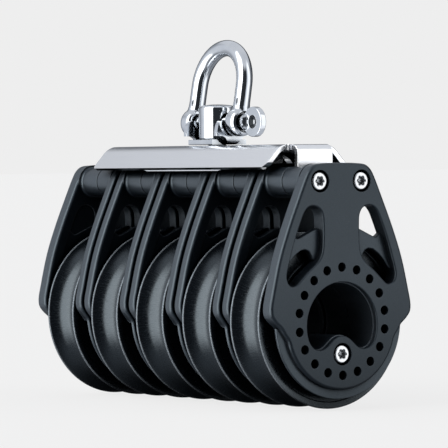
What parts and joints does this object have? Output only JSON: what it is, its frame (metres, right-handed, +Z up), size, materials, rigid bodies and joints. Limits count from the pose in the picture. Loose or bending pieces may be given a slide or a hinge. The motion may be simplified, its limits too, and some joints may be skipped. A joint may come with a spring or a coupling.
{
  "type": "multi-sheave rigging block",
  "caption": "Side-by-side ball-bearing rigging block in moulded side plates with a folded stainless saddle and a screw-pin shackle.",
  "frame": {"origin": "bottom centre of the row: under the middle sheave, level with the lowest point of the sheaves; the sheave axis is 28.5 mm above it", "axes": "+Z up towards the shackle, Y along the sheave axis and the row of sheaves, X across the block in the direction the ropes lead"},
  "size_m": [0.057, 0.1374, 0.1208],
  "materials": {
    "side_plate": "fine-grained moulded glass-filled nylon, dark slate grey",
    "sheave": "satin black moulded resin",
    "ball": "smooth black bearing resin",
    "fastener": "bright stainless steel",
    "saddle": "satin polished folded stainless sheet",
    "shackle": "mirror polished forged stainless steel"
  },
  "bodies": {
    "block_frame": {"side_plate_1a": "side_plate", "side_plate_1b": "side_plate", "side_plate_2a": "side_plate", "side_plate_2b": "side_plate", "side_plate_3a": "side_plate", "side_plate_3b": "side_plate", "side_plate_4a": "side_plate", "side_plate_4b": "side_plate", "side_plate_5a": "side_plate", "side_plate_5b": "side_plate", "head_left_bolt": "fastener", "head_right_bolt": "fastener", "hub_bolt": "fastener", "head_left_nut": "fastener", "head_right_nut": "fastener", "hub_nut": "fastener", "saddle": "saddle", "saddle_doubler": "saddle", "shackle_cradle": "shackle", "shackle_post": "shackle", "post_nut": "fastener"},
    "sheave_1": {"sheave_1": "sheave"},
    "ball_ring_1a": {"ball_ring_1a": "ball"},
    "ball_ring_1b": {"ball_ring_1b": "ball"},
    "sheave_2": {"sheave_2": "sheave"},
    "ball_ring_2a": {"ball_ring_2a": "ball"},
    "ball_ring_2b": {"ball_ring_2b": "ball"},
    "sheave_3": {"sheave_3": "sheave"},
    "ball_ring_3a": {"ball_ring_3a": "ball"},
    "ball_ring_3b": {"ball_ring_3b": "ball"},
    "sheave_4": {"sheave_4": "sheave"},
    "ball_ring_4a": {"ball_ring_4a": "ball"},
    "ball_ring_4b": {"ball_ring_4b": "ball"},
    "sheave_5": {"sheave_5": "sheave"},
    "ball_ring_5a": {"ball_ring_5a": "ball"},
    "ball_ring_5b": {"ball_ring_5b": "ball"},
    "shackle_bow": {"shackle_bow": "shackle"},
    "shackle_pin": {"shackle_pin": "shackle"}
  },
  "joints": [
    {"name": "sheave_1_spin", "type": "hinge", "parent": "block_frame", "child": "sheave_1", "pos_m": [0, -0.054, 0.0285], "axis": [0, 1, 0], "continuous": true},
    {"name": "ball_ring_1a_roll", "type": "hinge", "parent": "block_frame", "child": "ball_ring_1a", "pos_m": [0, -0.0596, 0.0285], "axis": [0, 1, 0], "continuous": true},
    {"name": "ball_ring_1b_roll", "type": "hinge", "parent": "block_frame", "child": "ball_ring_1b", "pos_m": [0, -0.0484, 0.0285], "axis": [0, 1, 0], "continuous": true},
    {"name": "sheave_2_spin", "type": "hinge", "parent": "block_frame", "child": "sheave_2", "pos_m": [0, -0.027, 0.0285], "axis": [0, 1, 0], "continuous": true},
    {"name": "ball_ring_2a_roll", "type": "hinge", "parent": "block_frame", "child": "ball_ring_2a", "pos_m": [0, -0.0326, 0.0285], "axis": [0, 1, 0], "continuous": true},
    {"name": "ball_ring_2b_roll", "type": "hinge", "parent": "block_frame", "child": "ball_ring_2b", "pos_m": [0, -0.0214, 0.0285], "axis": [0, 1, 0], "continuous": true},
    {"name": "sheave_3_spin", "type": "hinge", "parent": "block_frame", "child": "sheave_3", "pos_m": [0, 0, 0.0285], "axis": [0, 1, 0], "continuous": true},
    {"name": "ball_ring_3a_roll", "type": "hinge", "parent": "block_frame", "child": "ball_ring_3a", "pos_m": [0, -0.0056, 0.0285], "axis": [0, 1, 0], "continuous": true},
    {"name": "ball_ring_3b_roll", "type": "hinge", "parent": "block_frame", "child": "ball_ring_3b", "pos_m": [0, 0.0056, 0.0285], "axis": [0, 1, 0], "continuous": true},
    {"name": "sheave_4_spin", "type": "hinge", "parent": "block_frame", "child": "sheave_4", "pos_m": [0, 0.027, 0.0285], "axis": [0, 1, 0], "continuous": true},
    {"name": "ball_ring_4a_roll", "type": "hinge", "parent": "block_frame", "child": "ball_ring_4a", "pos_m": [0, 0.0214, 0.0285], "axis": [0, 1, 0], "continuous": true},
    {"name": "ball_ring_4b_roll", "type": "hinge", "parent": "block_frame", "child": "ball_ring_4b", "pos_m": [0, 0.0326, 0.0285], "axis": [0, 1, 0], "continuous": true},
    {"name": "sheave_5_spin", "type": "hinge", "parent": "block_frame", "child": "sheave_5", "pos_m": [0, 0.054, 0.0285], "axis": [0, 1, 0], "continuous": true},
    {"name": "ball_ring_5a_roll", "type": "hinge", "parent": "block_frame", "child": "ball_ring_5a", "pos_m": [0, 0.0484, 0.0285], "axis": [0, 1, 0], "continuous": true},
    {"name": "ball_ring_5b_roll", "type": "hinge", "parent": "block_frame", "child": "ball_ring_5b", "pos_m": [0, 0.0596, 0.0285], "axis": [0, 1, 0], "continuous": true},
    {"name": "bow_swing", "type": "hinge", "parent": "block_frame", "child": "shackle_bow", "pos_m": [0, 0, 0.0933], "axis": [0, 1, 0], "range_deg": [-105, 86]},
    {"name": "pin_withdraw", "type": "slide", "parent": "shackle_bow", "child": "shackle_pin", "axis": [0, -1, 0], "range_m": [0, 0.0255]}
  ],
  "couplings": [
    {"joint": "ball_ring_1a_roll", "follows": "sheave_1_spin", "ratio": 0.5532},
    {"joint": "ball_ring_1b_roll", "follows": "sheave_1_spin", "ratio": 0.5532},
    {"joint": "ball_ring_2a_roll", "follows": "sheave_2_spin", "ratio": 0.5532},
    {"joint": "ball_ring_2b_roll", "follows": "sheave_2_spin", "ratio": 0.5532},
    {"joint": "ball_ring_3a_roll", "follows": "sheave_3_spin", "ratio": 0.5532},
    {"joint": "ball_ring_3b_roll", "follows": "sheave_3_spin", "ratio": 0.5532},
    {"joint": "ball_ring_4a_roll", "follows": "sheave_4_spin", "ratio": 0.5532},
    {"joint": "ball_ring_4b_roll", "follows": "sheave_4_spin", "ratio": 0.5532},
    {"joint": "ball_ring_5a_roll", "follows": "sheave_5_spin", "ratio": 0.5532},
    {"joint": "ball_ring_5b_roll", "follows": "sheave_5_spin", "ratio": 0.5532}
  ]
}
